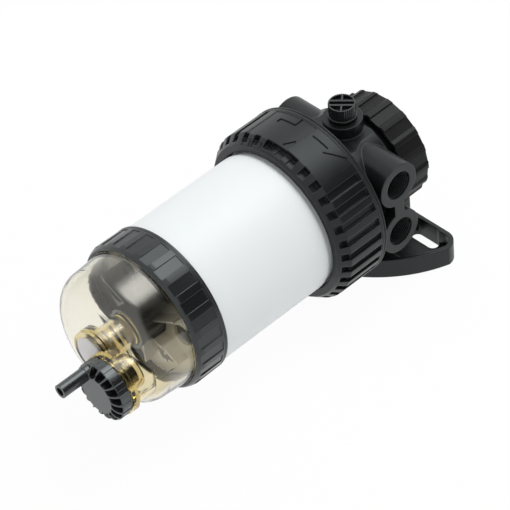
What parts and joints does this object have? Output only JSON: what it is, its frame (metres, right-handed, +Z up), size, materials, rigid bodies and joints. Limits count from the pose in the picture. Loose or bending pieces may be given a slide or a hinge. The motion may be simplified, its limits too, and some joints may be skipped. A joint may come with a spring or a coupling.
{
  "type": "fuel water separator",
  "caption": "Fuel water separator with a hand pump, wall bracket, threaded ports, white cartridge, clear bowl and a turning drain knob with hose nozzle.",
  "frame": {"origin": "centre of the two bracket slots, on the mounting face", "axes": "+Z up along the filter axis, +Y into the wall, +X to the right seen from the front"},
  "size_m": [0.138, 0.137, 0.3251],
  "materials": {
    "black_moulding": "fine grained charcoal moulding",
    "black_satin": "satin black moulding",
    "white_moulding": "smooth satin white moulding",
    "amber_clear": "clear pale amber moulding",
    "grey_moulding": "satin pale grey moulding",
    "black_rubber": "smooth black seal rubber",
    "steel": "drawn steel",
    "brass_rod": "turned",
    "filter_paper": "pleated paper",
    "white_inner": "plain moulding"
  },
  "bodies": {
    "housing": {"head": "black_moulding", "pump_cover": "black_satin", "rod_seal": "black_rubber", "pump_inlet_valve": "black_rubber", "pump_outlet_valve": "black_rubber", "cartridge_can": "white_moulding", "cartridge_seal": "black_rubber", "cartridge_top_plate": "white_inner", "nipple_seal": "black_rubber", "filter_media": "filter_paper", "media_top_cap": "white_inner", "media_bottom_cap": "white_inner", "centre_tube": "white_inner", "cartridge_base": "black_satin", "bowl_seal": "black_rubber", "bowl": "amber_clear", "sensor_plug": "grey_moulding", "sensor_plug_seal": "black_rubber"},
    "upper_lock": {"upper_collar": "black_moulding"},
    "lower_lock": {"lower_collar": "black_moulding"},
    "plunger": {"pump_rod": "brass_rod", "pump_piston": "white_inner", "piston_seal": "black_rubber", "pump_spring": "steel", "knob_screw": "steel"},
    "hand_knob": {"pump_knob": "black_moulding"},
    "bleed_slide": {"bleed_seal": "black_rubber"},
    "bleed_turn": {"bleed_screw": "black_satin"},
    "drain_slide": {"drain_seal": "black_rubber"},
    "drain_turn": {"drain_knob": "black_satin"}
  },
  "joints": [
    {"name": "upper_collar_turn", "type": "hinge", "parent": "housing", "child": "upper_lock", "pos_m": [0, -0.07, -0.085], "axis": [0, 0, 1], "range_deg": [0, 45]},
    {"name": "lower_collar_turn", "type": "hinge", "parent": "housing", "child": "lower_lock", "pos_m": [0, -0.07, -0.218], "axis": [0, 0, 1], "range_deg": [0, 45]},
    {"name": "pump_stroke", "type": "slide", "parent": "housing", "child": "plunger", "axis": [0, 0, 1], "range_m": [0, 0.018], "deforming": ["pump_spring"]},
    {"name": "knob_turn", "type": "hinge", "parent": "plunger", "child": "hand_knob", "pos_m": [0, -0.07, 0.002], "axis": [0, 0, 1], "range_deg": [0, 90]},
    {"name": "bleed_travel", "type": "slide", "parent": "housing", "child": "bleed_slide", "axis": [0, -1, 0], "range_m": [0, 0.0023]},
    {"name": "bleed_screw_turn", "type": "hinge", "parent": "bleed_slide", "child": "bleed_turn", "pos_m": [0, -0.1195, -0.034], "axis": [0, -1, 0], "range_deg": [0, 540]},
    {"name": "drain_travel", "type": "slide", "parent": "housing", "child": "drain_slide", "axis": [0, 0, -1], "range_m": [0, 0.0031]},
    {"name": "drain_knob_turn", "type": "hinge", "parent": "drain_slide", "child": "drain_turn", "pos_m": [0.0272, -0.0662, -0.284], "axis": [0, 0, -1], "range_deg": [0, 360]}
  ],
  "couplings": [
    {"joint": "bleed_travel", "follows": "bleed_screw_turn", "m_per_rad": 0.00023873},
    {"joint": "drain_travel", "follows": "drain_knob_turn", "m_per_rad": 0.00047746}
  ]
}
